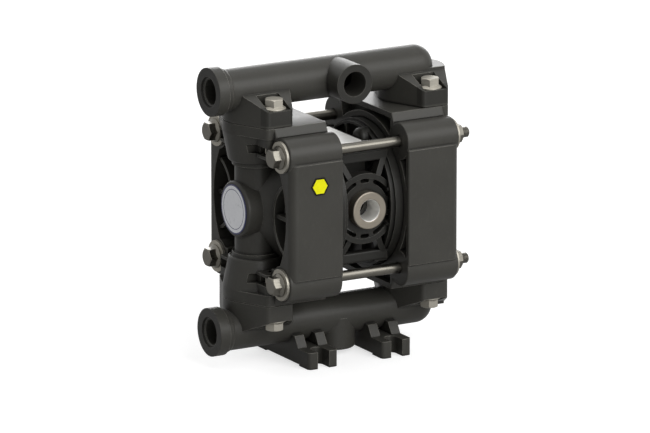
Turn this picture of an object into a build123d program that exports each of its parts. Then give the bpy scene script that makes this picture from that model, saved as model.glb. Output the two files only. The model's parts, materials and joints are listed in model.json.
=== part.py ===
from build123d import *
import math
import os

# Air operated double diaphragm pump.
# X runs along the diaphragm shaft, -Y is the side with the air inlet and +Z is up.
# The origin is on the floor, midway between the two casings.

# ------------------------------------------------------------------ driving dimensions, mm
axis_z = 120.7  # height of the shaft's axis above the floor

# tie bolts, on a square round the shaft's axis
tie_offset = 48.75
bolt_radius = 4.0  # M8
tie_hole_radius = 4.4
head_flats = 13.0
flange_radius = 8.95
head_height = 8.1
nut_height = 6.5
washer_radius = 12.0
washer_thick = 2.0
tie_tip_x = 87.4

# casings; x is given for the right one
casing_in = 28.0
casing_out = 72.3
barrel_radius = 14.0
outer_rim_round = 1.2
inner_rim_round = 1.0
slab_y = 63.8
slab_z = 44.8
slab_outer_round = 6.5
slab_inner_round = 1.5
slab_chamfer = 0.8
seam_z = 68.0  # the decks, and the joint between bowls and manifolds
seam_groove = 0.6
deck_y = 37.5
band_y = 40.4
band_z = 61.8
deck_wall = 5.0
skirt_wall = 4.0
recess_floor = 38.0
side_arc_radius = 71.7
side_arc_centre = 16.7
rib_radius = 29.6
rib_centre = 61.6
rib_wall = 2.5
rib_top = 70.0
cross_rib_length = 24.0
cross_rib_wide = 3.0
lens_z = 26.3
dome_root_radius = 57.0
dome_low_x = 46.0
dome_low_radius = 50.5
dome_high_radius = 27.5
dome_end_x = 72.5
boss_radius = 21.5
boss_x = 85.6
boss_round = 2.5
port_x = 67.0  # the upright axis of bowls, neck and manifold feet
neck_radius = 15.8
neck_bore = 9.0
bowl_radius = 25.0
bowl_low_radius = 20.5
bowl_low = 36.5
bowl_low_round = 2.2
bowl_step_radius = 17.8
bowl_step = 33.5
ear_half = 12.0
ear_round = 4.0
ear_thick = 8.3
column_bottom = 44.0
column_wide = 17.0
column_round = 3.0
bowl_bore = 16.0
bowl_floor = 38.0

# diaphragm chamber
disc_seat_radius = 56.6
seat_wall = 4.6
inner_pocket_depth = 8.0
clamp_x = 34.6
chamber_radius = 47.0
chamber_turn = 43.0
chamber_end = 64.0
chamber_end_radius = 24.0

# centre block
disc_radius = 56.0
disc_in = 21.5
disc_out = 32.0
air_chamber_radius = 46.0
air_chamber_x = 24.5
bar_offset = 42.5
bar_size = 8.0
bar_round = 1.5
disc_rib = 4.0
disc_rib_wide = 2.2
disc_ribs = 12
disc_rim = 54.0
core_radius = 29.0
frame_y = 47.0
frame_outer = 27.0
frame_inner = 23.0
frame_deep = 8.0
frame_web = 6.0
slot_ring = 21.2
slot_wide = 3.2
long_slot_turn = 42.0
short_slot_turn = 12.0
spoke_width = 4.2
spoke_corner_y = 41.0
spoke_deep = 20.0
hub_deep = 27.0
corner_web = 13.0
pod_x = 12.0
pod_y = 13.0
pod_z = 45.0
pod_radius = 8.0
pod_round = 3.5
hub_radius = 19.0
bush_radius = 14.3
bush_y = 54.3
bush_depth = 18.0
inlet_radius = 8.25
passage_radius = 5.0
plate_pad_z = 46.0
pad_half_x = 11.5
pad_half_y = 26.5

# manifolds
tube_z = 92.2
tube_radius = 15.7
tube_bore = 10.5
tube_left = -107.0
tube_right = 82.0
tube_end_round = 13.0
tube_end_wall = 8.0
collar_radius = 18.4
collar_length = 8.6
neck_ring_radius = 16.9
neck_ring_length = 3.6
port_radius = 9.5
port_depth = 16.0
port_ring_radius = 11.6
port_ring_depth = 1.5
foot_top = 92.4
ear_top = 80.7
head_pocket_long = 31.0
gusset_top_step = 1.7
front_port_radius = 15.0
front_port_y = 31.7
manifold_bolt_y = 28.0
foot_bore = 10.0
seal_ring_radius = 19.0  # ring seal in each foot
seal_groove = 2.6
seal_groove_depth = 1.8
drain_radius = 16.0
drain_z = 116.7
drain_round = 1.5

# mounting feet
foot_x = 31.7
foot_half = 12.6
foot_end = 40.3
foot_slot = 9.8
foot_height = 13.0
foot_slot_end = 26.0
foot_cheek_low = 24.0
foot_cheek_high = 18.5
foot_pad = 15.0
foot_relief = 1.1

# check valves; each ball lifts 5 mm
ball_radius = 9.5
seat_height = 6.0
seat_throat = 6.0
seat_gap = 0.15
cage_radius = 15.8
cage_height = 23.8
cage_stop = 19.4
seat_ring = 12.5
ring_radius = 0.9  # section of every ring seal
nut_seat = 46.4
nut_slot_low = 46.2
nut_slot_height = 6.9
nut_slot_behind = 8.0
nut_slot_side = 20.5  # middle of the slot's shallow lead-in

# shaft and air valve; the shaft strokes 4 mm each way
shaft_radius = 6.0
plate_in = 29.0
plate_thick = 4.0
plate_radius = 27.0
diaphragm_thick = 2.5
outer_plate_thick = 6.0
sleeve_radius = 16.0
sleeve_bore = 12.0
sleeve_half = 16.0
spool_half = 12.8
spool_bore = 6.6
spool_ring_x = 8.5
running_gap = 0.05
pilot_radius = 2.0
pilot_z = 21.0
pilot_half = 26.8

# badge and labels, all plain
label_thick = 0.4
badge_radius = 18.9
hexagon_x = 48.3
hexagon_z = 26.8
hexagon_radius = 7.5

os.makedirs("parts", exist_ok=True)

pump_axis = Axis((0, 0, axis_z), (1, 0, 0))


def across(x):
    """Plane across the shaft's axis: local x is +Y, local y is +Z, its normal +X."""
    return Plane(origin=(x, 0, axis_z), x_dir=(0, 1, 0), z_dir=(1, 0, 0))


def level(z):
    """Horizontal plane at height z above the shaft's axis."""
    return Plane(origin=(0, 0, axis_z + z))


def facing(y, z=0):
    """Upright plane facing the front: local x is +X, local y is +Z, its normal -Y."""
    return Plane(origin=(0, y, axis_z + z), x_dir=(1, 0, 0), z_dir=(0, -1, 0))


def upright(x):
    """Upright axis through a bowl."""
    return Axis((x, 0, axis_z), (0, 0, 1))


def corners(y, z):
    """The four corners of a rectangle centred on the shaft's axis."""
    return [(i * y, j * z) for i in (-1, 1) for j in (-1, 1)]


# ------------------------------------------------------------------ shared forms
def flange_plan(x):
    """Oval flange of a bowl's mouth and of the manifold foot on it."""
    with BuildSketch() as plan:
        with Locations((x, 0)):
            Circle(bowl_radius)
            with Locations(*corners(ear_half - ear_round, deck_y - ear_round)):
                Circle(ear_round)
        make_hull()
    return plan.sketch


def hexagon(flats):
    """Regular hexagon with the given distance across its flats."""
    with BuildSketch() as outline:
        RegularPolygon(flats / 2, 6, major_radius=False)
    return outline.sketch


def flange_bolt(length):
    """Flange-head bolt standing on its head's underside, with its shank downwards."""
    corner = head_flats / 2 / math.cos(math.pi / 6)
    with BuildPart() as bolt:
        with BuildSketch():
            add(hexagon(head_flats))
        extrude(amount=head_height)
        with BuildSketch(Plane.XZ):
            Polygon(
                (0, 0),
                (corner + 0.3, 0),
                (corner + 0.3, head_height - 1.0),
                (head_flats / 2 - 0.5, head_height),
                (0, head_height),
                align=None,
            )
        revolve(axis=Axis.Z, mode=Mode.INTERSECT)
        with BuildSketch(Plane.XZ):
            Polygon(
                (0, 0),
                (flange_radius, 0),
                (flange_radius, 0.9),
                (head_flats / 2, 2.6),
                (0, 2.6),
                align=None,
            )
        revolve(axis=Axis.Z)
        with BuildSketch():
            Circle(bolt_radius)
        extrude(amount=-length)
        chamfer(bolt.faces().sort_by(Axis.Z)[0].edges(), 0.8)
    return bolt.part


def hex_nut():
    """Plain nut standing on the XY plane."""
    corner = head_flats / 2 / math.cos(math.pi / 6)
    with BuildPart() as nut:
        with BuildSketch():
            add(hexagon(head_flats))
            Circle(bolt_radius, mode=Mode.SUBTRACT)
        extrude(amount=nut_height)
        with BuildSketch(Plane.XZ):
            Polygon(
                (0, 0),
                (head_flats / 2 - 0.4, 0),
                (corner, 0.8),
                (corner, nut_height - 0.8),
                (head_flats / 2 - 0.4, nut_height),
                (0, nut_height),
                align=None,
            )
        revolve(axis=Axis.Z, mode=Mode.INTERSECT)
    return nut.part


# ------------------------------------------------------------------ casings
with BuildPart() as casing_slab:
    with BuildSketch(level(-slab_z)) as slab_plan:
        with Locations(((casing_in + casing_out) / 2, 0)):
            Rectangle(casing_out - casing_in, 2 * slab_y)
        fillet(slab_plan.vertices().group_by(Axis.X)[-1], slab_outer_round)
        fillet(slab_plan.vertices().group_by(Axis.X)[0], slab_inner_round)
    extrude(amount=2 * slab_z)
    chamfer(casing_slab.edges().filter_by(Axis.X).group_by(Axis.Z)[-1], slab_chamfer)
    chamfer(casing_slab.edges().filter_by(Axis.X).group_by(Axis.Z)[0], slab_chamfer)

with BuildPart() as upper_bowl:
    # valve housing: a tapered cup, its oval flange and the two columns that hold the nuts
    with BuildSketch(facing(0)) as bowl_profile:
        Polygon(
            (port_x, seam_z),
            (port_x + bowl_radius, seam_z),
            (port_x + bowl_radius, seam_z - ear_thick),
            (port_x + bowl_low_radius, bowl_low),
            (port_x + bowl_step_radius, bowl_low),
            (port_x + bowl_step_radius, bowl_step),
            (port_x, bowl_step),
            align=None,
        )
        bowl_foot = (port_x + bowl_low_radius, bowl_low, 0)
        fillet(bowl_profile.vertices().sort_by_distance(bowl_foot)[0], bowl_low_round)
    revolve(axis=upright(port_x))
    with BuildSketch(level(seam_z)):
        add(flange_plan(port_x))
    extrude(amount=-ear_thick)
    with BuildSketch(level(seam_z - ear_thick)):
        with Locations((port_x, manifold_bolt_y), (port_x, -manifold_bolt_y)):
            RectangleRounded(2 * ear_half - 2, column_wide, column_round)
    extrude(amount=column_bottom + ear_thick - seam_z)

with BuildPart() as right_casing:
    # decks and bolt barrels, run through from end to end
    with BuildSketch(across(casing_in)):
        Rectangle(2 * deck_y, 2 * seam_z)
        Rectangle(2 * tie_offset, 2 * tie_offset)
        for side in (-1, 1):
            Polygon(
                (0, side * seam_z),
                (deck_y, side * seam_z),
                (band_y, side * band_z),
                (band_y, 0),
                (-band_y, 0),
                (-band_y, side * band_z),
                (-deck_y, side * seam_z),
                align=None,
            )
        with Locations(*corners(tie_offset, tie_offset)):
            Circle(barrel_radius)
    extrude(amount=casing_out - casing_in)
    outer_rim = right_casing.faces().sort_by(Axis.X)[-1].edges()
    fillet(outer_rim.group_by(Axis.Z)[1:-1], outer_rim_round)
    inner_rim = right_casing.faces().sort_by(Axis.X)[0].edges()
    fillet(inner_rim.group_by(Axis.Z)[1:-1], inner_rim_round)
    add(casing_slab.part)

    # outer end, hollowed between the skirt and the dome
    with BuildSketch(across(casing_out)):
        Rectangle(2 * slab_y, 2 * (tie_offset - 9))
        for side in (-1, 1):
            with Locations((side * side_arc_centre, 0)):
                Circle(side_arc_radius, mode=Mode.INTERSECT)
        Rectangle(2 * (deck_y - skirt_wall), 2 * (seam_z - deck_wall))
        with Locations(*corners(tie_offset, tie_offset)):
            Circle(barrel_radius, mode=Mode.SUBTRACT)
    extrude(amount=recess_floor - casing_out, mode=Mode.SUBTRACT)

    # curved ribs that close the lens-shaped pockets, with a short rib across each
    with BuildSketch(across(recess_floor - 1)):
        for side in (-1, 1):
            with Locations((side * rib_centre, 0)):
                Circle(rib_radius + rib_wall / 2)
                Circle(rib_radius - rib_wall / 2, mode=Mode.SUBTRACT)
        Rectangle(2 * (tie_offset + 2), 2 * lens_z + 2, mode=Mode.INTERSECT)
    extrude(amount=rib_top - recess_floor + 1)
    with BuildSketch(across(recess_floor - 1)):
        for side in (-1, 1):
            with Locations((side * (rib_centre - rib_radius + cross_rib_length / 2), 0)):
                Rectangle(cross_rib_length, cross_rib_wide)
    extrude(amount=rib_top - recess_floor - 1)

    # dome over the liquid chamber, and the round boss at its top
    with BuildSketch(facing(0)):
        Polygon(
            (recess_floor - 2, 0),
            (recess_floor - 2, dome_root_radius + 3),
            (recess_floor + 2, dome_root_radius),
            (dome_low_x, dome_low_radius),
            (port_x, dome_high_radius),
            (dome_end_x, boss_radius),
            (dome_end_x, 0),
            align=None,
        )
    revolve(axis=pump_axis)
    with BuildSketch(facing(0)) as boss_profile:
        with Locations((chamber_end, 0)):
            Rectangle(boss_x - chamber_end, boss_radius, align=(Align.MIN, Align.MIN))
        fillet(boss_profile.vertices().group_by(Axis.X)[-1].sort_by(Axis.Y)[-1], boss_round)
    revolve(axis=pump_axis)

    # neck between the bowls
    with BuildSketch(level(-bowl_low)):
        with Locations((port_x, 0)):
            Circle(neck_radius)
    extrude(amount=2 * bowl_low)

    add(upper_bowl.part)
    add(upper_bowl.part.mirror(level(0)))

    # liquid chamber and passages
    with BuildSketch(across(casing_in)):
        Circle(disc_seat_radius)
    extrude(amount=clamp_x - casing_in, mode=Mode.SUBTRACT)
    with BuildSketch(facing(0)):
        Polygon(
            (clamp_x, 0),
            (clamp_x, chamber_radius),
            (chamber_turn, chamber_radius),
            (chamber_end, chamber_end_radius),
            (chamber_end, 0),
            align=None,
        )
    revolve(axis=pump_axis, mode=Mode.SUBTRACT)
    with BuildSketch(level(-bowl_floor)):
        with Locations((port_x, 0)):
            Circle(neck_bore)
    extrude(amount=2 * bowl_floor, mode=Mode.SUBTRACT)
    for side in (-1, 1):
        with BuildSketch(level(side * seam_z)):
            with Locations((port_x, 0)):
                Circle(bowl_bore)
        extrude(amount=-side * (seam_z - bowl_floor), mode=Mode.SUBTRACT)

    # weight-saving pockets round the inner face
    with BuildSketch(across(casing_in)):
        Rectangle(2 * (slab_y - skirt_wall), 2 * (slab_z - skirt_wall))
        Rectangle(2 * (deck_y - 1), 2 * (seam_z - skirt_wall))
        with Locations(*corners(tie_offset, tie_offset)):
            Circle(barrel_radius, mode=Mode.SUBTRACT)
        Circle(disc_seat_radius + seat_wall, mode=Mode.SUBTRACT)
    extrude(amount=inner_pocket_depth, mode=Mode.SUBTRACT)

    # bolt holes, and the slots that hold the manifold bolts' nuts
    with BuildSketch(across(casing_in)):
        with Locations(*corners(tie_offset, tie_offset)):
            Circle(tie_hole_radius)
    extrude(amount=casing_out - casing_in, mode=Mode.SUBTRACT)
    for side in (-1, 1):
        with BuildSketch(level(side * seam_z)):
            with Locations((port_x, manifold_bolt_y), (port_x, -manifold_bolt_y)):
                Circle(tie_hole_radius)
        extrude(amount=-side * (seam_z - column_bottom), mode=Mode.SUBTRACT)
        with BuildSketch(level(side * nut_slot_low)):
            for y in (-manifold_bolt_y, manifold_bolt_y):
                with Locations((port_x - nut_slot_behind, y)):
                    Rectangle(2 * ear_half, head_flats + 0.6, align=(Align.MIN, Align.CENTER))
            for y in (-nut_slot_side, nut_slot_side):
                with Locations((port_x + nut_slot_behind, y)):
                    Rectangle(ear_half, column_wide / 2, align=(Align.MIN, Align.CENTER))
        extrude(amount=side * nut_slot_height, mode=Mode.SUBTRACT)
right_casing.part.label = "right_casing"
export_step(right_casing.part, "parts/right_casing.step")

with BuildPart() as left_casing:
    add(right_casing.part)
    mirror(about=Plane.YZ, mode=Mode.REPLACE)
left_casing.part.label = "left_casing"
export_step(left_casing.part, "parts/left_casing.step")


# ------------------------------------------------------------------ manifolds
def manifold_foot(x):
    """Foot on an upper bowl, with a pocket round each bolt head between two gusset walls."""
    with BuildPart() as foot:
        with BuildSketch(level(seam_z)):
            add(flange_plan(x))
        extrude(amount=foot_top - seam_z)
        with BuildSketch(across(x - 2 * bowl_radius)):
            Polygon(
                (-deck_y, seam_z),
                (-deck_y, ear_top + 0.3),
                (-tube_radius + 0.7, foot_top - gusset_top_step),
                (-tube_radius + 0.7, foot_top),
                (tube_radius - 0.7, foot_top),
                (tube_radius - 0.7, foot_top - gusset_top_step),
                (deck_y, ear_top + 0.3),
                (deck_y, seam_z),
                align=None,
            )
        extrude(amount=4 * bowl_radius, mode=Mode.INTERSECT)
        chamfer(foot.faces().sort_by(Axis.Z)[0].edges(), seam_groove)
        with BuildSketch(level(ear_top)):
            with Locations((x, manifold_bolt_y + 5), (x, -manifold_bolt_y - 5)):
                Rectangle(2 * flange_radius + 0.8, head_pocket_long)
        extrude(amount=foot_top - ear_top, mode=Mode.SUBTRACT)
    return foot.part


def manifold_shell():
    """Upper manifold's tube on its two feet: a collared port on the left, closed on the right."""
    with BuildPart() as shell:
        with BuildSketch(facing(0, tube_z)):
            with BuildLine():
                end = CenterArc(
                    (tube_right - tube_end_round, tube_radius - tube_end_round),
                    tube_end_round,
                    0,
                    90,
                )
                Polyline(
                    end @ 0,
                    (tube_right, 0),
                    (tube_left, 0),
                    (tube_left, collar_radius),
                    (tube_left + collar_length, collar_radius),
                    (tube_left + collar_length, neck_ring_radius),
                    (tube_left + collar_length + neck_ring_length, neck_ring_radius - 0.3),
                    (tube_left + collar_length + neck_ring_length + 1.2, tube_radius),
                    end @ 1,
                )
            make_face()
        revolve(axis=Axis((0, 0, axis_z + tube_z), (1, 0, 0)))
        for x in (-port_x, port_x):
            add(manifold_foot(x))
    return shell.part


def manifold_passages():
    """Everything that is open inside the upper manifold, as one solid to take away."""
    with BuildPart() as passages:
        with BuildSketch(facing(0, tube_z)):
            Polygon(
                (tube_left, 0),
                (tube_left, port_ring_radius),
                (tube_left + port_ring_depth, port_ring_radius),
                (tube_left + port_ring_depth, port_radius + 0.8),
                (tube_left + port_ring_depth + 0.8, port_radius),
                (tube_left + port_depth, port_radius),
                (tube_left + port_depth, tube_bore),
                (tube_right - tube_end_wall, tube_bore),
                (tube_right - tube_end_wall, 0),
                align=None,
            )
        revolve(axis=Axis((0, 0, axis_z + tube_z), (1, 0, 0)))
        with BuildSketch(level(seam_z)):
            with Locations((-port_x, 0), (port_x, 0)):
                Circle(foot_bore)
        extrude(amount=tube_z - seam_z)
        with BuildSketch(level(seam_z)):
            with Locations((-port_x, 0), (port_x, 0)):
                Circle(seal_ring_radius + seal_groove / 2)
                Circle(seal_ring_radius - seal_groove / 2, mode=Mode.SUBTRACT)
        extrude(amount=seal_groove_depth)
        with BuildSketch(level(seam_z)):
            with Locations(*[(i * port_x, j * manifold_bolt_y) for i in (-1, 1) for j in (-1, 1)]):
                Circle(tie_hole_radius)
        extrude(amount=ear_top - seam_z)
    return passages.part


with BuildPart() as discharge_manifold:
    add(manifold_shell())
    # port that faces the front
    with BuildSketch(facing(-front_port_y, tube_z)):
        Circle(front_port_radius)
    extrude(amount=-front_port_y)
    add(manifold_passages(), mode=Mode.SUBTRACT)
    with BuildSketch(facing(-front_port_y, tube_z)):
        Circle(port_radius)
    extrude(amount=-front_port_y, mode=Mode.SUBTRACT)
discharge_manifold.part.label = "discharge_manifold"
export_step(discharge_manifold.part, "parts/discharge_manifold.step")

with BuildPart() as foot_bars:
    # each mounting foot is a pair of bars joined by a web, slotted from both ends
    with BuildSketch(level(-axis_z)):
        with Locations((-foot_x, 0), (foot_x, 0)):
            RectangleRounded(2 * foot_half, 2 * foot_end, 3)
    extrude(amount=foot_height)
    for x in (-foot_x, foot_x):
        with BuildSketch(across(x - foot_half)):
            Polygon(
                (-foot_cheek_low, foot_height - axis_z),
                (-foot_cheek_high, -tube_z - 7),
                (foot_cheek_high, -tube_z - 7),
                (foot_cheek_low, foot_height - axis_z),
                align=None,
            )
        extrude(amount=2 * foot_half)
    with BuildSketch(level(foot_height - axis_z)):
        with Locations((-foot_x, 0), (foot_x, 0)):
            Rectangle(foot_slot, 2 * foot_end)
    extrude(amount=2 * foot_slot, mode=Mode.SUBTRACT)
    for side in (-1, 1):
        with BuildSketch(level(-axis_z)):
            for x in (-foot_x, foot_x):
                with Locations((x, side * (foot_slot_end + foot_slot / 2))):
                    Circle(foot_slot / 2)
                with Locations((x, side * (foot_slot_end + 1.5 * foot_slot))):
                    Rectangle(foot_slot, 2 * foot_slot)
        extrude(amount=foot_height, mode=Mode.SUBTRACT)
    # the bars' middles stand clear of the floor
    with BuildSketch(level(-axis_z)):
        Rectangle(4 * foot_x, 2 * (foot_end - foot_pad))
    extrude(amount=foot_relief, mode=Mode.SUBTRACT)

with BuildPart() as suction_manifold:
    add(manifold_shell())
    mirror(about=level(0), mode=Mode.REPLACE)
    # closed boss under the middle of the tube
    with BuildSketch(level(-drain_z)):
        Circle(drain_radius)
    extrude(amount=drain_z - tube_z)
    fillet(suction_manifold.faces().filter_by(Plane.XY).sort_by(Axis.Z)[0].edges(), drain_round)
    add(foot_bars.part)
    add(manifold_passages().mirror(level(0)), mode=Mode.SUBTRACT)
suction_manifold.part.label = "suction_manifold"
export_step(suction_manifold.part, "parts/suction_manifold.step")


# ------------------------------------------------------------------ centre block
def ring_web():
    """Web between the port ring and its hub, broken by four long slots and four short ones."""
    with BuildSketch() as web:
        Circle(frame_inner + 0.5)
        for angle in (0, 90, 180, 270):
            long_slot = CenterArc((0, 0), slot_ring, angle + 45 - long_slot_turn / 2, long_slot_turn)
            SlotArc(long_slot, slot_wide, mode=Mode.SUBTRACT)
            short_slot = CenterArc((0, 0), slot_ring, angle - short_slot_turn / 2, short_slot_turn)
            SlotArc(short_slot, slot_wide, mode=Mode.SUBTRACT)
    return web.sketch


with BuildPart() as frame_spokes:
    # four spokes fall back from the port ring to the longitudinal bars
    spoke_angle = math.degrees(math.atan2(bar_offset, disc_in))
    spoke_end = math.hypot(bar_offset, disc_in)
    with BuildSketch(facing(-frame_y)):
        for angle in (spoke_angle, -spoke_angle, 180 - spoke_angle, spoke_angle - 180):
            with Locations(Location((0, 0, 0), (0, 0, angle))):
                Rectangle(spoke_end, spoke_width, align=(Align.MIN, Align.CENTER))
        Circle(frame_inner + 1, mode=Mode.SUBTRACT)
    extrude(amount=-spoke_deep)
    with BuildSketch(across(-disc_in - 2)):
        for side in (-1, 1):
            Polygon(
                (0.5 - frame_y, side * (frame_inner - 6)),
                (0.5 - frame_y, side * (frame_inner - 2)),
                (-spoke_corner_y, side * (bar_offset - 1)),
                (6 - spoke_corner_y, side * (bar_offset - 1)),
                (8 - frame_y, side * (frame_inner - 6)),
                align=None,
            )
    extrude(amount=2 * disc_in + 4, mode=Mode.INTERSECT)

with BuildPart() as port_frame:
    # spoked ring round the front air port
    with BuildSketch(facing(-frame_y)):
        Circle(frame_outer)
        Circle(frame_inner, mode=Mode.SUBTRACT)
    extrude(amount=-frame_deep)
    with BuildSketch(facing(-frame_y + 0.5)):
        add(ring_web())
    extrude(amount=-frame_web)
    with BuildSketch(facing(-frame_y + 0.5)):
        Circle(hub_radius)
    extrude(amount=-hub_deep)
    add(frame_spokes.part)
    with BuildSketch(facing(-bar_offset + 4)):
        for x_side, z_side in corners(1, 1):
            Polygon(
                (x_side * (disc_in + 1), z_side * (bar_offset + 1)),
                (x_side * (disc_in + 1), z_side * (bar_offset - corner_web)),
                (x_side * (disc_in - 2), z_side * (bar_offset - corner_web)),
                (x_side * (disc_in - 10), z_side * (bar_offset + 1)),
                align=None,
            )
    extrude(amount=3)

with BuildPart() as pilot_pod:
    # rounded housing over the end of a pilot passage
    with BuildSketch(across(pod_x)):
        with Locations((-pod_y, pod_z)):
            Circle(pod_radius)
    extrude(amount=disc_in - pod_x)
    fillet(pilot_pod.faces().sort_by(Axis.X)[0].edges(), pod_round)

with BuildPart() as centre_block:
    with BuildSketch(across(-disc_in)):
        Circle(core_radius)
        with Locations(*corners(bar_offset - bar_size / 2, bar_offset - bar_size / 2)):
            RectangleRounded(bar_size, bar_size, bar_round)
    extrude(amount=2 * disc_in)
    with BuildSketch(level(0)):
        Rectangle(2 * pad_half_x, 2 * pad_half_y)
    extrude(amount=plate_pad_z)
    add(port_frame.part)
    add(port_frame.part.mirror(Plane.XZ))
    for side in (-1, 1):
        with BuildSketch(across(side * disc_in)):
            Circle(disc_radius)
        extrude(amount=side * (disc_out - disc_in))
        # a rim and radial ribs stand on the disc's inner face
        with BuildSketch(across(side * disc_in)):
            Circle(disc_rim)
            Circle(disc_rim - 2, mode=Mode.SUBTRACT)
        extrude(amount=-side * (disc_rib - 1))
        with BuildSketch(across(side * disc_in)):
            with PolarLocations((core_radius + disc_radius) / 2 - 3, disc_ribs, start_angle=15):
                Rectangle(disc_radius - core_radius - 2, disc_rib_wide)
        extrude(amount=-side * disc_rib)
    add(pilot_pod.part)
    add(pilot_pod.part.rotate(Axis.Z, 180))
    # air chambers behind the diaphragms, and the bore for the air valve
    for side in (-1, 1):
        with BuildSketch(across(side * disc_out)):
            Circle(air_chamber_radius)
        extrude(amount=side * (air_chamber_x - disc_out), mode=Mode.SUBTRACT)
    with BuildSketch(across(-air_chamber_x)):
        Circle(sleeve_radius)
        with Locations((0, pilot_z)):
            Circle(pilot_radius + running_gap)
    extrude(amount=2 * air_chamber_x, mode=Mode.SUBTRACT)
    # sockets for the inlet bush and the silencer, each with a passage to the valve
    for side in (-1, 1):
        with BuildSketch(facing(side * (frame_y + 5))):
            Circle(bush_radius)
        extrude(amount=side * (frame_y + 5 - bush_y + bush_depth), mode=Mode.SUBTRACT)
        with BuildSketch(facing(side * frame_y)):
            Circle(passage_radius)
        extrude(amount=side * (frame_y - sleeve_radius + 1), mode=Mode.SUBTRACT)
centre_block.part.label = "centre_block"
export_step(centre_block.part, "parts/centre_block.step")

with BuildPart() as air_inlet_bush:
    with BuildSketch(facing(-bush_y)):
        Circle(bush_radius)
    extrude(amount=-bush_depth)
    chamfer(air_inlet_bush.faces().sort_by(Axis.Y)[0].edges(), 0.6)
    with BuildSketch(facing(-bush_y)):
        Circle(inlet_radius)
    extrude(amount=-bush_depth, mode=Mode.SUBTRACT)
    chamfer(air_inlet_bush.faces().sort_by(Axis.Y)[0].edges().sort_by(SortBy.RADIUS)[0], 0.6)
air_inlet_bush.part.label = "air_inlet_bush"
export_step(air_inlet_bush.part, "parts/air_inlet_bush.step")

with BuildPart() as exhaust_silencer:
    # short sintered plug with a knurled-edge flange
    with BuildSketch(facing(bush_y)):
        Circle(bush_radius)
    extrude(amount=bush_depth)
    fillet(exhaust_silencer.faces().sort_by(Axis.Y)[-1].edges(), 2.0)
    with BuildSketch(facing(frame_y + 2.5)):
        Circle(bush_radius + 2.2)
        with PolarLocations(bush_radius + 2.6, 24):
            Circle(0.8, mode=Mode.SUBTRACT)
    extrude(amount=2.5)
exhaust_silencer.part.label = "exhaust_silencer"
export_step(exhaust_silencer.part, "parts/exhaust_silencer.step")

# ------------------------------------------------------------------ air valve and pilot
with BuildPart() as valve_sleeve:
    with BuildSketch(across(-sleeve_half)):
        Circle(sleeve_radius)
        Circle(sleeve_bore, mode=Mode.SUBTRACT)
    extrude(amount=2 * sleeve_half)
    for x in (-7.0, 0.0, 7.0):
        with BuildSketch(facing(-sleeve_radius)):
            with Locations((x, 0)):
                Circle(2.2)
        extrude(amount=-2 * sleeve_radius, mode=Mode.SUBTRACT)
valve_sleeve.part.label = "valve_sleeve"
export_step(valve_sleeve.part, "parts/valve_sleeve.step")

with BuildPart() as valve_spool:
    with BuildSketch(facing(0)):
        with Locations((0, (sleeve_bore - running_gap + spool_bore) / 2)):
            Rectangle(2 * spool_half, sleeve_bore - running_gap - spool_bore)
        with Locations((0, sleeve_bore)):
            Rectangle(5, 4, mode=Mode.SUBTRACT)
        with Locations((-spool_ring_x, sleeve_bore), (spool_ring_x, sleeve_bore)):
            Rectangle(2, 4, mode=Mode.SUBTRACT)
    revolve(axis=pump_axis)
valve_spool.part.label = "valve_spool"
export_step(valve_spool.part, "parts/valve_spool.step")

with BuildPart() as spool_rings:
    for x in (-spool_ring_x, spool_ring_x):
        with BuildSketch(facing(0)):
            with Locations((x, sleeve_bore - 1.05)):
                Circle(ring_radius)
        revolve(axis=pump_axis)
spool_rings.part.label = "spool_rings"
export_step(spool_rings.part, "parts/spool_rings.step")

with BuildPart() as shaft_bushes:
    for side in (-1, 1):
        with BuildSketch(facing(0)):
            with Locations((side * (sleeve_half + air_chamber_x) / 2, 0)):
                Rectangle(
                    air_chamber_x - sleeve_half,
                    sleeve_radius,
                    align=(Align.CENTER, Align.MIN),
                )
                Rectangle(
                    air_chamber_x - sleeve_half,
                    shaft_radius + running_gap,
                    align=(Align.CENTER, Align.MIN),
                    mode=Mode.SUBTRACT,
                )
                Rectangle(
                    2.0,
                    shaft_radius + 1.9,
                    align=(Align.CENTER, Align.MIN),
                    mode=Mode.SUBTRACT,
                )
        revolve(axis=pump_axis)
shaft_bushes.part.label = "shaft_bushes"
export_step(shaft_bushes.part, "parts/shaft_bushes.step")

with BuildPart() as shaft_rings:
    for side in (-1, 1):
        with BuildSketch(facing(0)):
            with Locations((side * (sleeve_half + air_chamber_x) / 2, shaft_radius + 0.97)):
                Circle(ring_radius)
        revolve(axis=pump_axis)
shaft_rings.part.label = "shaft_rings"
export_step(shaft_rings.part, "parts/shaft_rings.step")

with BuildPart() as pilot_rod:
    with BuildSketch(across(-pilot_half)):
        with Locations((0, pilot_z)):
            Circle(pilot_radius)
    extrude(amount=2 * pilot_half)
    chamfer(pilot_rod.edges().filter_by(GeomType.CIRCLE), 0.4)
pilot_rod.part.label = "pilot_rod"
export_step(pilot_rod.part, "parts/pilot_rod.step")

# ------------------------------------------------------------------ diaphragm shaft
shaft_shoulder = plate_in
shaft_end = plate_in + plate_thick + diaphragm_thick + outer_plate_thick + nut_height - 0.5
outer_plate_x = plate_in + plate_thick + diaphragm_thick

with BuildPart() as diaphragm_shaft:
    with BuildSketch(facing(0)):
        Polygon(
            (-shaft_end, 0),
            (-shaft_end, bolt_radius - 0.6),
            (-shaft_end + 0.6, bolt_radius),
            (-shaft_shoulder, bolt_radius),
            (-shaft_shoulder, shaft_radius),
            (shaft_shoulder, shaft_radius),
            (shaft_shoulder, bolt_radius),
            (shaft_end - 0.6, bolt_radius),
            (shaft_end, bolt_radius - 0.6),
            (shaft_end, 0),
            align=None,
        )
    revolve(axis=pump_axis)
diaphragm_shaft.part.label = "diaphragm_shaft"
export_step(diaphragm_shaft.part, "parts/diaphragm_shaft.step")

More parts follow.
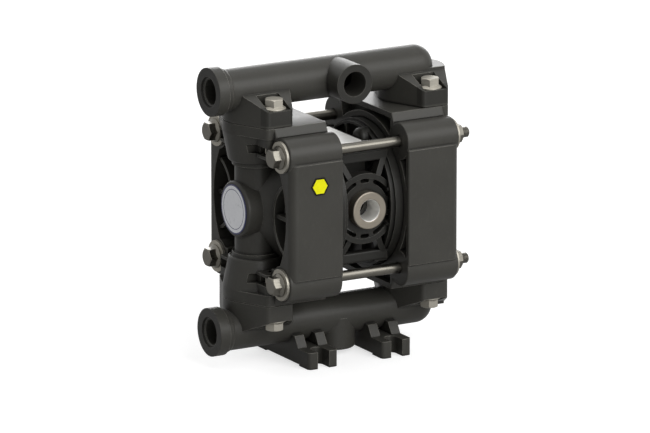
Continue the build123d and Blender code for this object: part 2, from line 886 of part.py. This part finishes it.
with BuildPart() as inner_plates:
    for side in (-1, 1):
        with BuildSketch(facing(0)):
            Polygon(
                (side * plate_in, bolt_radius),
                (side * plate_in, plate_radius - 4),
                (side * (plate_in + 1.5), plate_radius),
                (side * (plate_in + plate_thick - 1), plate_radius),
                (side * (plate_in + plate_thick), plate_radius - 1),
                (side * (plate_in + plate_thick), bolt_radius),
                align=None,
            )
        revolve(axis=pump_axis)
inner_plates.part.label = "inner_plates"
export_step(inner_plates.part, "parts/inner_plates.step")

with BuildPart() as outer_plates:
    for side in (-1, 1):
        with BuildSketch(facing(0)):
            with BuildLine():
                Polyline(
                    (side * (outer_plate_x + outer_plate_thick), 12),
                    (side * (outer_plate_x + outer_plate_thick), bolt_radius),
                    (side * outer_plate_x, bolt_radius),
                    (side * outer_plate_x, plate_radius),
                    (side * (outer_plate_x + 1.5), plate_radius),
                )
                ThreePointArc(
                    (side * (outer_plate_x + 1.5), plate_radius),
                    (side * (outer_plate_x + 4.6), 21),
                    (side * (outer_plate_x + outer_plate_thick), 12),
                )
            make_face()
        revolve(axis=pump_axis)
outer_plates.part.label = "outer_plates"
export_step(outer_plates.part, "parts/outer_plates.step")

nut = hex_nut()
with BuildPart() as plate_nuts:
    for side in (-1, 1):
        seat_x = side * (outer_plate_x + outer_plate_thick)
        with Locations(Plane(origin=(seat_x, 0, axis_z), x_dir=(0, 1, 0), z_dir=(side, 0, 0))):
            add(nut)
plate_nuts.part.label = "plate_nuts"
export_step(plate_nuts.part, "parts/plate_nuts.step")


def diaphragm(side):
    """Moulded diaphragm: clamped centre, one rolling convolution and a clamped rim."""
    centre_x = plate_in + plate_thick
    with BuildPart() as disc:
        with BuildSketch(facing(0)):
            with BuildLine():
                Polyline(
                    (side * centre_x, plate_radius + 2),
                    (side * centre_x, bolt_radius),
                    (side * (centre_x + diaphragm_thick), bolt_radius),
                    (side * (centre_x + diaphragm_thick), plate_radius + 2),
                )
                ThreePointArc(
                    (side * (centre_x + diaphragm_thick), plate_radius + 2),
                    (side * (centre_x + diaphragm_thick + 5), 38),
                    (side * clamp_x, chamber_radius),
                )
                Polyline(
                    (side * clamp_x, chamber_radius),
                    (side * clamp_x, disc_radius),
                    (side * disc_out, disc_radius),
                    (side * disc_out, air_chamber_radius),
                )
                ThreePointArc(
                    (side * disc_out, air_chamber_radius),
                    (side * (centre_x + 5), 37.6),
                    (side * centre_x, plate_radius + 2),
                )
            make_face()
        revolve(axis=pump_axis)
    return disc.part


with BuildPart() as diaphragm_left:
    add(diaphragm(-1))
diaphragm_left.part.label = "diaphragm_left"
export_step(diaphragm_left.part, "parts/diaphragm_left.step")

with BuildPart() as diaphragm_right:
    add(diaphragm(1))
diaphragm_right.part.label = "diaphragm_right"
export_step(diaphragm_right.part, "parts/diaphragm_right.step")


# ------------------------------------------------------------------ check valves
# Each bowl holds a seat, a ball above it and a cage round the ball. Flow is always upwards.
valve_foot = {"suction": -seam_z, "discharge": bowl_floor}
valve_x = {"left": -port_x, "right": port_x}
valve_places = [(x, z) for z in valve_foot.values() for x in valve_x.values()]

with BuildPart() as valve_seats:
    for x, z in valve_places:
        with BuildSketch(facing(0, z)):
            Polygon(
                (x + seat_throat, 0),
                (x + cage_radius, 0),
                (x + cage_radius, seat_height),
                (x + seat_throat + seat_height / 2, seat_height),
                (x + seat_throat, seat_height / 2),
                align=None,
            )
            with Locations((x + seat_ring, 0)):
                Rectangle(2.4, 3.6, mode=Mode.SUBTRACT)
        revolve(axis=upright(x))
valve_seats.part.label = "valve_seats"
export_step(valve_seats.part, "parts/valve_seats.step")

with BuildPart() as seat_rings:
    for x, z in valve_places:
        with BuildSketch(facing(0, z)):
            with Locations((x + seat_ring, ring_radius)):
                Circle(ring_radius)
        revolve(axis=upright(x))
seat_rings.part.label = "seat_rings"
export_step(seat_rings.part, "parts/seat_rings.step")

with BuildPart() as ball_cages:
    for x, z in valve_places:
        with BuildSketch(level(z + seat_height)):
            with Locations((x, 0)):
                Circle(cage_radius)
                Circle(cage_radius - 2.2, mode=Mode.SUBTRACT)
            with Locations((x, 0)):
                with PolarLocations((cage_radius + ball_radius) / 2 - 0.4, 4):
                    Rectangle(cage_radius - ball_radius - 1.8, 3)
        extrude(amount=cage_height)
        with BuildSketch(level(z + seat_height + cage_stop)):
            with Locations((x, 0)):
                Rectangle(2 * cage_radius - 2, 3)
                Rectangle(3, 2 * cage_radius - 2)
        extrude(amount=2.6)
ball_cages.part.label = "ball_cages"
export_step(ball_cages.part, "parts/ball_cages.step")

ball_rise = seat_height / 2 - seat_throat + ball_radius * math.sqrt(2) + seat_gap
for stage, z in valve_foot.items():
    for hand, x in valve_x.items():
        ball_name = f"{stage}_ball_{hand}"
        with BuildPart() as ball:
            with Locations((x, 0, axis_z + z + ball_rise)):
                Sphere(ball_radius)
        ball.part.label = ball_name
        export_step(ball.part, f"parts/{ball_name}.step")

with BuildPart() as manifold_seals:
    for side in (-1, 1):
        for x in valve_x.values():
            with BuildSketch(facing(0, side * (seam_z + ring_radius))):
                with Locations((x + seal_ring_radius, 0)):
                    Circle(ring_radius)
            revolve(axis=upright(x))
manifold_seals.part.label = "manifold_seals"
export_step(manifold_seals.part, "parts/manifold_seals.step")

# ------------------------------------------------------------------ fasteners
tie_seat_x = casing_out + washer_thick
tie_places = [(y, axis_z + z) for y, z in corners(tie_offset, tie_offset)]

tie_bolt = flange_bolt(tie_seat_x + tie_tip_x)
with BuildPart() as tie_bolts:
    for y, z in tie_places:
        with Locations(Plane(origin=(-tie_seat_x, y, z), x_dir=(0, 1, 0), z_dir=(-1, 0, 0))):
            add(tie_bolt)
tie_bolts.part.label = "tie_bolts"
export_step(tie_bolts.part, "parts/tie_bolts.step")

with BuildPart() as tie_washers:
    for x in (-tie_seat_x, casing_out):
        with BuildSketch(across(x)):
            with Locations(*corners(tie_offset, tie_offset)):
                Circle(washer_radius)
                Circle(bolt_radius + 0.2, mode=Mode.SUBTRACT)
        extrude(amount=washer_thick)
tie_washers.part.label = "tie_washers"
export_step(tie_washers.part, "parts/tie_washers.step")

with BuildPart() as tie_nuts:
    for y, z in tie_places:
        with Locations(Plane(origin=(tie_seat_x, y, z), x_dir=(0, 1, 0), z_dir=(1, 0, 0))):
            add(nut)
tie_nuts.part.label = "tie_nuts"
export_step(tie_nuts.part, "parts/tie_nuts.step")

manifold_bolt = flange_bolt(ear_top - nut_seat + 1.5)
with BuildPart() as manifold_bolts:
    for side in (-1, 1):
        for x, y in corners(port_x, manifold_bolt_y):
            head = (x, y, axis_z + side * ear_top)
            with Locations(Plane(origin=head, x_dir=(1, 0, 0), z_dir=(0, 0, side))):
                add(manifold_bolt)
manifold_bolts.part.label = "manifold_bolts"
export_step(manifold_bolts.part, "parts/manifold_bolts.step")

with BuildPart() as manifold_nuts:
    for side in (-1, 1):
        for x, y in corners(port_x, manifold_bolt_y):
            seat = (x, y, axis_z + side * nut_seat)
            with Locations(Plane(origin=seat, x_dir=(1, 0, 0), z_dir=(0, 0, side))):
                add(nut)
manifold_nuts.part.label = "manifold_nuts"
export_step(manifold_nuts.part, "parts/manifold_nuts.step")

# ------------------------------------------------------------------ plain badge and labels
with BuildPart() as boss_badge:
    with BuildSketch(across(-boss_x)):
        Circle(badge_radius)
    extrude(amount=-label_thick)
boss_badge.part.label = "boss_badge"
export_step(boss_badge.part, "parts/boss_badge.step")

with BuildPart() as hexagon_label:
    with BuildSketch(facing(-slab_y)):
        with Locations((-hexagon_x, hexagon_z)):
            RegularPolygon(hexagon_radius, 6)
    extrude(amount=label_thick)
hexagon_label.part.label = "hexagon_label"
export_step(hexagon_label.part, "parts/hexagon_label.step")

with BuildPart() as rating_plate:
    with BuildSketch(level(plate_pad_z)):
        RectangleRounded(2 * pad_half_x - 3, 2 * pad_half_y - 3, 1.5)
    extrude(amount=label_thick)
rating_plate.part.label = "rating_plate"
export_step(rating_plate.part, "parts/rating_plate.step")
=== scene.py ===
import json
import math

import bmesh
import bpy
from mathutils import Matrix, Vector


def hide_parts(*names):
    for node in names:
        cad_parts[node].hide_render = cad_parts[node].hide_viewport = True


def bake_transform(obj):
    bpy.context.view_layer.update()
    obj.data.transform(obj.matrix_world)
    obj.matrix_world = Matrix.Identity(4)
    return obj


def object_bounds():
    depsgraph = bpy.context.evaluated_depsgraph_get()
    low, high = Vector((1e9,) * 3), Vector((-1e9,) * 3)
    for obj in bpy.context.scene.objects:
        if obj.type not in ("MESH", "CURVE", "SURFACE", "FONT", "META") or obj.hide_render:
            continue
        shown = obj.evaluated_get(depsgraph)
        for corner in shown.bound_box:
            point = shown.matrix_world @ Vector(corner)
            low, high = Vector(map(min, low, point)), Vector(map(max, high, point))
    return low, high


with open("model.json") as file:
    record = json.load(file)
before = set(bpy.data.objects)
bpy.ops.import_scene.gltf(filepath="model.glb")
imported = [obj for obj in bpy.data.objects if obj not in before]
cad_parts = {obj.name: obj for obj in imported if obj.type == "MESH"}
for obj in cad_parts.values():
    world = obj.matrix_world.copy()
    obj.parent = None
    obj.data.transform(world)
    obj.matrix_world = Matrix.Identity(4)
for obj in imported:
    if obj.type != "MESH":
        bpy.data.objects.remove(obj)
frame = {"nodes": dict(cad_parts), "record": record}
nodes = frame["nodes"]
cad_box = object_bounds()

# the pump's own measures, in metres, in the CAD's frame
AXIS_Z = 0.1207  # height of the diaphragm shaft
PORT_X, PORT_MARGIN = -0.107, 0.0004  # the two side ports' faces, and a depth just behind them
FRONT_PORT_Y, FRONT_MARGIN = -0.0317, 0.0002  # the same for the front port
FRONT_PORT_ABOVE = 0.07  # the front port is all higher than this over the shaft
BADGE_RIM = 0.0178  # radius where the badge's dark rim starts
BADGE_RING = (0.0148, 0.0153)  # inner and outer radius of its thin ring
HEXAGON_X, HEXAGON_RISE = -0.0483, 0.0268  # the hexagon's centre, and its height over the shaft
HEXAGON_FACE = 0.0054  # from that centre to the border's inner edge
THREAD_FROM = 0.0775  # X where the tie bolts' thread starts
BUSH_BORE = 0.0085  # a radius just outside the bush's bore
BOLT_PITCH, BUSH_PITCH = 0.00125, 0.00134  # of the two threads

# the view, and the picture that it fills
VIEW_AZIMUTH, VIEW_ELEVATION = -29.83, 14.55  # degrees
VIEW_LEFT, VIEW_DOWN = 0.00645, 0.0161  # from the shaft's middle to the picture's
PICTURE_WIDTH = 650  # pixels
PIXEL = 0.00075  # metres that one pixel covers at the pump


# ------------------------------------------------------------------ camera
def make_camera():
    """Sees the pump from its front left, from so far that it is nearly without perspective."""
    azimuth, elevation = math.radians(VIEW_AZIMUTH), math.radians(VIEW_ELEVATION)
    back = Vector((
        math.sin(azimuth) * math.cos(elevation),
        -math.cos(azimuth) * math.cos(elevation),
        math.sin(elevation),
    ))
    right = Vector((math.cos(azimuth), math.sin(azimuth), 0))
    up = back.cross(right)
    target = Vector((0, 0, AXIS_Z)) - right * VIEW_LEFT - up * VIEW_DOWN
    distance = 6.0
    data = bpy.data.cameras.new("camera")
    data.sensor_width = 36
    data.lens = data.sensor_width * distance / (PICTURE_WIDTH * PIXEL)
    data.clip_start = 0.5
    data.clip_end = 60
    camera = bpy.data.objects.new("camera", data)
    bpy.context.collection.objects.link(camera)
    camera.location = target + back * distance
    camera.rotation_mode = "QUATERNION"
    camera.rotation_quaternion = (-back).to_track_quat("-Z", "Y")
    bpy.context.scene.camera = camera


# ------------------------------------------------------------------ node helpers
class Tree:
    """A material's node tree, with the few sums that every finish here uses."""

    def __init__(self, name):
        self.material = bpy.data.materials.new(name)
        self.material.use_nodes = True
        self.tree = self.material.node_tree
        self.tree.nodes.clear()
        self.coords = self.node("ShaderNodeTexCoord").outputs["Object"]

    def node(self, kind, inputs=(), **settings):
        made = self.tree.nodes.new(kind)
        for key, value in settings.items():
            setattr(made, key, value)
        for key, value in dict(inputs).items():
            self.put(made.inputs[key], value)
        return made

    def put(self, socket, value):
        if isinstance(value, bpy.types.NodeSocket):
            self.tree.links.new(value, socket)
        else:
            socket.default_value = value

    def math(self, operation, a, b=0.0):
        made = self.node("ShaderNodeMath", operation=operation)
        for socket, value in zip(made.inputs, (a, b)):
            self.put(socket, value)
        return made.outputs[0]

    def noise(self, scale, detail=2.0, roughness=0.5, stretch=(1, 1, 1)):
        place = self.node("ShaderNodeMapping", {"Vector": self.coords, "Scale": stretch})
        made = self.node(
            "ShaderNodeTexNoise",
            {"Vector": place.outputs[0], "Scale": scale, "Detail": detail, "Roughness": roughness},
        )
        return made.outputs["Fac"]

    def ramp(self, value, low, high, to_low=0.0, to_high=1.0):
        made = self.node(
            "ShaderNodeMapRange",
            {"Value": value, "From Min": low, "From Max": high, "To Min": to_low, "To Max": to_high},
        )
        return made.outputs[0]

    def mix(self, factor, a, b):
        made = self.node("ShaderNodeMix", data_type="RGBA")
        self.put(made.inputs["Factor"], factor)
        self.put(made.inputs[6], a)
        self.put(made.inputs[7], b)
        return made.outputs[2]

    def bump(self, height, distance, strength=1.0, normal=None):
        inputs = {"Height": height, "Distance": distance, "Strength": strength}
        if normal is not None:
            inputs["Normal"] = normal
        return self.node("ShaderNodeBump", inputs).outputs[0]

    def rounded(self, radius):
        return self.node("ShaderNodeBevel", {"Radius": radius}, samples=6).outputs[0]

    def edge(self, rounded_normal):
        """1 on an edge, 0 on a face: how far the rounded normal turns from the true one."""
        true_normal = self.node("ShaderNodeNewGeometry").outputs["Normal"]
        turn = self.node("ShaderNodeVectorMath", operation="DOT_PRODUCT")
        self.put(turn.inputs[0], rounded_normal)
        self.put(turn.inputs[1], true_normal)
        return self.ramp(turn.outputs["Value"], 0.995, 0.86)

    def axis(self, name):
        parts = self.node("ShaderNodeSeparateXYZ", {"Vector": self.coords})
        return parts.outputs[name]

    def radius(self, centre, drop):
        """Distance from a line through centre, measured across the axis called drop."""
        place = self.node("ShaderNodeVectorMath", operation="SUBTRACT")
        self.put(place.inputs[0], self.coords)
        self.put(place.inputs[1], centre)
        flat = self.node("ShaderNodeVectorMath", operation="MULTIPLY")
        self.put(flat.inputs[0], place.outputs[0])
        self.put(flat.inputs[1], [0.0 if name == drop else 1.0 for name in "XYZ"])
        return self.node("ShaderNodeVectorMath", {0: flat.outputs[0]}, operation="LENGTH").outputs["Value"]

    def finish(self, **values):
        shader = self.node("ShaderNodeBsdfPrincipled")
        for key, value in values.items():
            self.put(shader.inputs[key.replace("_", " ")], value)
        output = self.node("ShaderNodeOutputMaterial")
        self.tree.links.new(shader.outputs[0], output.inputs["Surface"])
        return self.material


def shade(colour, times):
    return (colour[0] * times, colour[1] * times, colour[2] * times, 1)


# ------------------------------------------------------------------ finishes
def machined_faces(t):
    """1 on the flat sealing faces of the three fluid ports, 0 elsewhere."""
    side_port = t.math("LESS_THAN", t.axis("X"), PORT_X + PORT_MARGIN)
    in_front = t.math("LESS_THAN", t.axis("Y"), FRONT_PORT_Y + FRONT_MARGIN)
    high_up = t.math("GREATER_THAN", t.axis("Z"), AXIS_Z + FRONT_PORT_ABOVE)
    front_port = t.math("MULTIPLY", in_front, high_up)
    return t.math("MAXIMUM", side_port, front_port)


def moulded(name, colour, rough, edge_radius=0.0008, grain=1.0, edge_highlight_tone=6.0, ports=False):
    """Glass-filled moulded plastic: fine spark grain, cloudy filler, a painted highlight along the edges
    and painted shade in the creases.
    """
    t = Tree(name)
    soft = t.rounded(edge_radius)
    cloud = t.noise(28, 4, 0.6)
    filler = t.noise(420, 2, 0.7, (1, 1, 0.45))
    grit = t.noise(2600, 1, 0.5)
    crease_shade = t.node("ShaderNodeAmbientOcclusion", {"Distance": 0.0025}, samples=6).outputs["AO"]
    edge_highlight = t.math("MULTIPLY", t.edge(soft), t.ramp(t.noise(140, 3), 0.25, 0.5))
    edge_highlight = t.math("MULTIPLY", edge_highlight, t.ramp(crease_shade, 0.8, 1.0))
    tone = t.mix(t.ramp(cloud, 0.3, 0.7), shade(colour, 0.93), shade(colour, 1.07))
    tone = t.mix(t.ramp(filler, 0.56, 0.8, 0.0, 0.35), tone, shade(colour, 1.5))
    # painted highlight: along edges, in noise patches and away from creases, the colour turns several
    # times lighter
    tone = t.mix(t.math("MULTIPLY", edge_highlight, 0.85), tone, shade(colour, edge_highlight_tone))
    # painted shade: in creases and corners, where occlusion finds nearby surfaces, the colour darkens to a
    # quarter
    tone = t.mix(t.ramp(crease_shade, 0.4, 0.98, 0.9, 0.0), tone, shade(colour, 0.25))
    if ports:
        tone = t.mix(t.math("MULTIPLY", machined_faces(t), 0.62), tone, shade(colour, 0.3))
    blotch = t.math("ADD", t.math("MULTIPLY", cloud, 0.6), t.math("MULTIPLY", grit, 0.4))
    roughness = t.ramp(blotch, 0.3, 0.7, rough - 0.04, rough + 0.05)
    skin = t.bump(grit, 0.00003 * grain, 0.55, soft)
    skin = t.bump(filler, 0.00004 * grain, 0.35, skin)
    return t.finish(Base_Color=tone, Roughness=roughness, Normal=skin, IOR=1.5, Specular_IOR_Level=0.2)


def steel(name, colour, rough, turned=None, thread_from=None, bore=None, scratch=0.00002):
    """Stainless steel: drawn lines along X, or turned rings round a centre line."""
    t = Tree(name)
    soft = t.rounded(0.0004)
    cloud = t.noise(60, 3, 0.6)
    if turned:
        centre, across = turned
        rings = t.math("MULTIPLY", t.radius(centre, across), 5200)
        line = t.node(
            "ShaderNodeTexNoise",
            {"Scale": 1.0, "Detail": 2.0, "W": rings},
            noise_dimensions="1D",
        ).outputs["Fac"]
    else:
        line = t.noise(1100, 2, 0.6, (0.015, 1, 1))
    tone = t.mix(t.ramp(cloud, 0.3, 0.7), shade(colour, 0.92), shade(colour, 1.05))
    tone = t.mix(t.ramp(line, 0.35, 0.65, 0.0, 0.25), tone, shade(colour, 0.8))
    blotch = t.math("ADD", t.math("MULTIPLY", line, 0.5), t.math("MULTIPLY", cloud, 0.5))
    roughness = t.ramp(blotch, 0.3, 0.7, rough - 0.06, rough + 0.08)
    skin = t.bump(line, scratch, 0.5, soft)
    if thread_from is not None:
        past = t.math("GREATER_THAN", t.axis("X"), thread_from)
        turns = t.math("SINE", t.math("MULTIPLY", t.axis("X"), 2 * math.pi / BOLT_PITCH))
        skin = t.bump(t.math("MULTIPLY", turns, past), 0.0004, 0.9, skin)
    if bore is not None:
        inside = t.math("LESS_THAN", t.radius(turned[0], turned[1]), bore)
        turns = t.math("SINE", t.math("MULTIPLY", t.axis("Y"), 2 * math.pi / BUSH_PITCH))
        skin = t.bump(t.math("MULTIPLY", turns, inside), 0.00012, 0.6, skin)
        # painted reflection: inside the bore the steel is made nearly white and rougher, standing in for
        # the bright light seen in it
        tone = t.mix(inside, tone, (0.9, 0.89, 0.86, 1))
        roughness = t.math("ADD", roughness, t.math("MULTIPLY", inside, 0.2))
    return t.finish(Base_Color=tone, Metallic=1.0, Roughness=roughness, Normal=skin)


def rubber(name, colour, rough):
    t = Tree(name)
    soft = t.rounded(0.0004)
    dust = t.noise(90, 4, 0.65)
    tone = t.mix(t.ramp(dust, 0.4, 0.75), shade(colour, 0.85), shade(colour, 1.5))
    skin = t.bump(t.noise(1800, 2), 0.00004, 0.5, soft)
    return t.finish(Base_Color=tone, Roughness=rough, Normal=skin)


def badge():
    """Plain disc: off-white face, a dark blue rim and a thin inner ring."""
    t = Tree("badge_face")
    away = t.radius((0, 0, AXIS_Z), "X")
    rim = t.math("GREATER_THAN", away, BADGE_RIM)
    inner, outer = BADGE_RING
    ring = t.math("MULTIPLY", t.math("GREATER_THAN", away, inner), t.math("LESS_THAN", away, outer))
    cloud = t.noise(300, 3)
    face = t.mix(t.ramp(cloud, 0.3, 0.7), (0.82, 0.83, 0.86, 1), (0.87, 0.88, 0.91, 1))
    ink = t.math("MAXIMUM", rim, ring)
    tone = t.mix(ink, face, (0.02, 0.024, 0.11, 1))
    skin = t.bump(ink, 0.00002, 0.4, t.rounded(0.0002))
    return t.finish(Base_Color=tone, Roughness=t.ramp(cloud, 0.3, 0.7, 0.26, 0.36), Normal=skin)


def hexagon_face():
    """Plain yellow hexagon with a dark border, its corners to the left and right."""
    t = Tree("label_yellow")
    x = t.math("ABSOLUTE", t.math("SUBTRACT", t.axis("X"), HEXAGON_X))
    z = t.math("ABSOLUTE", t.math("SUBTRACT", t.axis("Z"), AXIS_Z + HEXAGON_RISE))
    across = t.math("MULTIPLY", x, math.cos(math.radians(30)))
    slant = t.math("ADD", across, t.math("MULTIPLY", z, 0.5))
    out = t.math("MAXIMUM", z, slant)
    border = t.math("GREATER_THAN", out, HEXAGON_FACE)
    cloud = t.noise(300, 3)
    face = t.mix(t.ramp(cloud, 0.3, 0.7), (0.64, 0.62, 0.002, 1), (0.7, 0.68, 0.003, 1))
    tone = t.mix(border, face, (0.001, 0.001, 0.001, 1))
    skin = t.bump(t.math("ADD", border, t.math("MULTIPLY", cloud, 0.3)), 0.00001, 0.4)
    roughness = t.ramp(cloud, 0.3, 0.7, 0.38, 0.48)
    return t.finish(Base_Color=tone, Roughness=roughness, Normal=skin, Specular_IOR_Level=0.15)


def bare_plate():
    """Bare off-white foil plate, faintly mottled."""
    t = Tree("plate_white")
    cloud = t.noise(160, 4, 0.6)
    tone = t.mix(t.ramp(cloud, 0.3, 0.7), (0.74, 0.73, 0.7, 1), (0.82, 0.81, 0.78, 1))
    skin = t.bump(t.noise(1500, 2), 0.00001, 0.5, t.rounded(0.0003))
    return t.finish(Base_Color=tone, Roughness=t.ramp(cloud, 0.3, 0.7, 0.3, 0.42), Normal=skin)


CASING = (0.0375, 0.0362, 0.0316)
BLOCK = (0.016, 0.0155, 0.0135)
STEEL = (0.33, 0.312, 0.27)

casing = moulded("casing_plastic", CASING, 0.38, ports=True)
block = moulded("block_plastic", BLOCK, 0.38, edge_radius=0.0005, edge_highlight_tone=9)
drawn = steel("stainless", STEEL, 0.5)
rods = steel("stainless_rods", shade(STEEL, 0.47), 0.3, thread_from=THREAD_FROM, scratch=0.00012)
nuts = steel("stainless_nuts", shade(STEEL, 0.42), 0.45)
turned = steel(
    "bush_stainless", (0.28, 0.25, 0.206), 0.34, turned=((0, 0, AXIS_Z), "Y"), bore=BUSH_BORE
)
finishes = {
    "left_casing": casing,
    "right_casing": casing,
    "discharge_manifold": casing,
    "suction_manifold": casing,
    "centre_block": block,
    "air_inlet_bush": turned,
    "exhaust_silencer": moulded("silencer_plastic", (0.07, 0.072, 0.075), 0.7, grain=3.0),
    "tie_bolts": rods,
    "tie_nuts": nuts,
    "boss_badge": badge(),
    "hexagon_label": hexagon_face(),
    "rating_plate": bare_plate(),
}
by_slot = {
    "casing_plastic": casing,
    "block_plastic": block,
    "stainless": drawn,
    "bush_stainless": turned,
    "elastomer": rubber("elastomer", (0.02, 0.02, 0.02), 0.6),
    "ptfe": moulded("ptfe", (0.72, 0.71, 0.68), 0.5, grain=0.4, edge_highlight_tone=1.1),
    "valve_plastic": moulded("valve_plastic", (0.05, 0.05, 0.052), 0.4),
}


def slot_names():
    """Each CAD node's material slot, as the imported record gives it."""
    return {entry["node"]: entry["material_slot"] for entry in frame["record"]["subparts"]}


named = slot_names()
for name, shown in nodes.items():
    finish = finishes.get(name) or by_slot.get(named.get(name)) or drawn
    shown.data.materials.clear()
    shown.data.materials.append(finish)


# ------------------------------------------------------------------ diaphragms
WEDGES = 8  # one moulding is drawn as this many wedges, cut about the shaft


def cut_wedge(source, middle_angle):
    """The part of a mesh turned about the shaft that lies in one wedge, with its cut sides closed."""
    form = bmesh.new()
    form.from_mesh(source)
    bmesh.ops.remove_doubles(form, verts=form.verts, dist=1e-6)
    for side in (-1, 1):
        angle = middle_angle + side * math.pi / WEDGES
        outward = Vector((0, -math.sin(angle), math.cos(angle))) * side
        cut = bmesh.ops.bisect_plane(
            form,
            geom=form.verts[:] + form.edges[:] + form.faces[:],
            plane_co=(0, 0, AXIS_Z),
            plane_no=outward,
            clear_outer=True,
        )
        rim = [e for e in cut["geom_cut"] if isinstance(e, bmesh.types.BMEdge)]
        bmesh.ops.holes_fill(form, edges=rim)
    bmesh.ops.triangulate(form, faces=[f for f in form.faces if len(f.verts) > 4])
    bmesh.ops.recalc_face_normals(form, faces=form.faces)
    return form


def add_diaphragm(name):
    """Draws the moulding as wedges cut about the shaft, in elastomer, and hides the CAD node."""
    for count in range(WEDGES):
        angle = 2 * math.pi * count / WEDGES
        form = cut_wedge(nodes[name].data, angle)
        mesh = bpy.data.meshes.new(f"{name}_wedge_{count + 1}")
        form.to_mesh(mesh)
        form.free()
        mesh.materials.append(by_slot["elastomer"])
        piece = bpy.data.objects.new(mesh.name, mesh)
        bpy.context.collection.objects.link(piece)
        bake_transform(piece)
        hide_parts(name)


add_diaphragm("diaphragm_left")
add_diaphragm("diaphragm_right")


# ------------------------------------------------------------------ floor and light
def make_floor():
    """Pale floor that glows where the camera sees it, and a tenth as much in reflections."""
    t = Tree("floor")
    rays = t.node("ShaderNodeLightPath")
    seen = t.math("MAXIMUM", rays.outputs["Is Camera Ray"], rays.outputs["Is Transmission Ray"])
    seen = t.math("MAXIMUM", seen, t.math("MULTIPLY", rays.outputs["Is Glossy Ray"], 0.1))
    speck = t.ramp(t.noise(40, 2), 0.3, 0.7, 0.0, 1.0)
    tone = t.mix(speck, (0.5, 0.5, 0.5, 1), (0.53, 0.53, 0.53, 1))
    glow = t.math("MULTIPLY", seen, 0.65)
    return t.finish(
        Base_Color=tone, Roughness=0.9, Emission_Color=(1, 1, 1, 1), Emission_Strength=glow
    )


def add_floor():
    mesh = bpy.data.meshes.new("floor")
    form = bmesh.new()
    bmesh.ops.create_grid(form, x_segments=1, y_segments=1, size=4.0)
    form.to_mesh(mesh)
    form.free()
    floor = bpy.data.objects.new("floor", mesh)
    bpy.context.collection.objects.link(floor)
    gap = 0.0002
    floor.location.z = cad_box[0].z - gap
    mesh.materials.append(make_floor())


def add_light(name, place, aim, size, power):
    data = bpy.data.lights.new(name, "AREA")
    data.shape = "RECTANGLE"
    data.size, data.size_y = size
    data.energy = power
    lamp = bpy.data.objects.new(name, data)
    bpy.context.collection.objects.link(lamp)
    lamp.location = place
    lamp.rotation_mode = "QUATERNION"
    lamp.rotation_quaternion = (Vector(aim) - Vector(place)).to_track_quat("-Z", "Y")


def make_world():
    """White all round: full strength where it is seen or reflected, dimmer as light."""
    full, dim = 1.0, 0.24
    world = bpy.data.worlds.new("studio")
    bpy.context.scene.world = world
    world.use_nodes = True
    tree = world.node_tree
    tree.nodes.clear()
    rays = tree.nodes.new("ShaderNodeLightPath")
    clear = tree.nodes.new("ShaderNodeMath")
    clear.operation = "MAXIMUM"
    glossy = tree.nodes.new("ShaderNodeMath")
    glossy.operation = "MAXIMUM"
    tree.links.new(rays.outputs["Is Camera Ray"], clear.inputs[0])
    tree.links.new(rays.outputs["Is Transmission Ray"], clear.inputs[1])
    tree.links.new(clear.outputs[0], glossy.inputs[0])
    tree.links.new(rays.outputs["Is Glossy Ray"], glossy.inputs[1])
    strength = tree.nodes.new("ShaderNodeMapRange")
    strength.inputs["To Min"].default_value = dim
    strength.inputs["To Max"].default_value = full
    tree.links.new(glossy.outputs[0], strength.inputs["Value"])
    glow = tree.nodes.new("ShaderNodeBackground")
    glow.inputs["Color"].default_value = (1, 1, 1, 1)
    tree.links.new(strength.outputs[0], glow.inputs["Strength"])
    output = tree.nodes.new("ShaderNodeOutputWorld")
    tree.links.new(glow.outputs[0], output.inputs["Surface"])


make_camera()
make_world()
add_floor()
middle = (0, 0, AXIS_Z)
add_light("key", (0.3, -1.5, 1.25), middle, (1.3, 1.3), 16)
add_light("right", (0.95, -1.31, 1.1), middle, (1.2, 1.2), 9)
add_light("fill", (-0.1, -1.9, 0.4), middle, (1.0, 1.0), 13)
add_light("top", (0.0, 0.2, 1.6), middle, (1.4, 1.4), 8)
add_light("back", (0.95, 1.65, 0.65), middle, (1.6, 0.9), 17)

scene = bpy.context.scene
scene.view_settings.view_transform = "Standard"
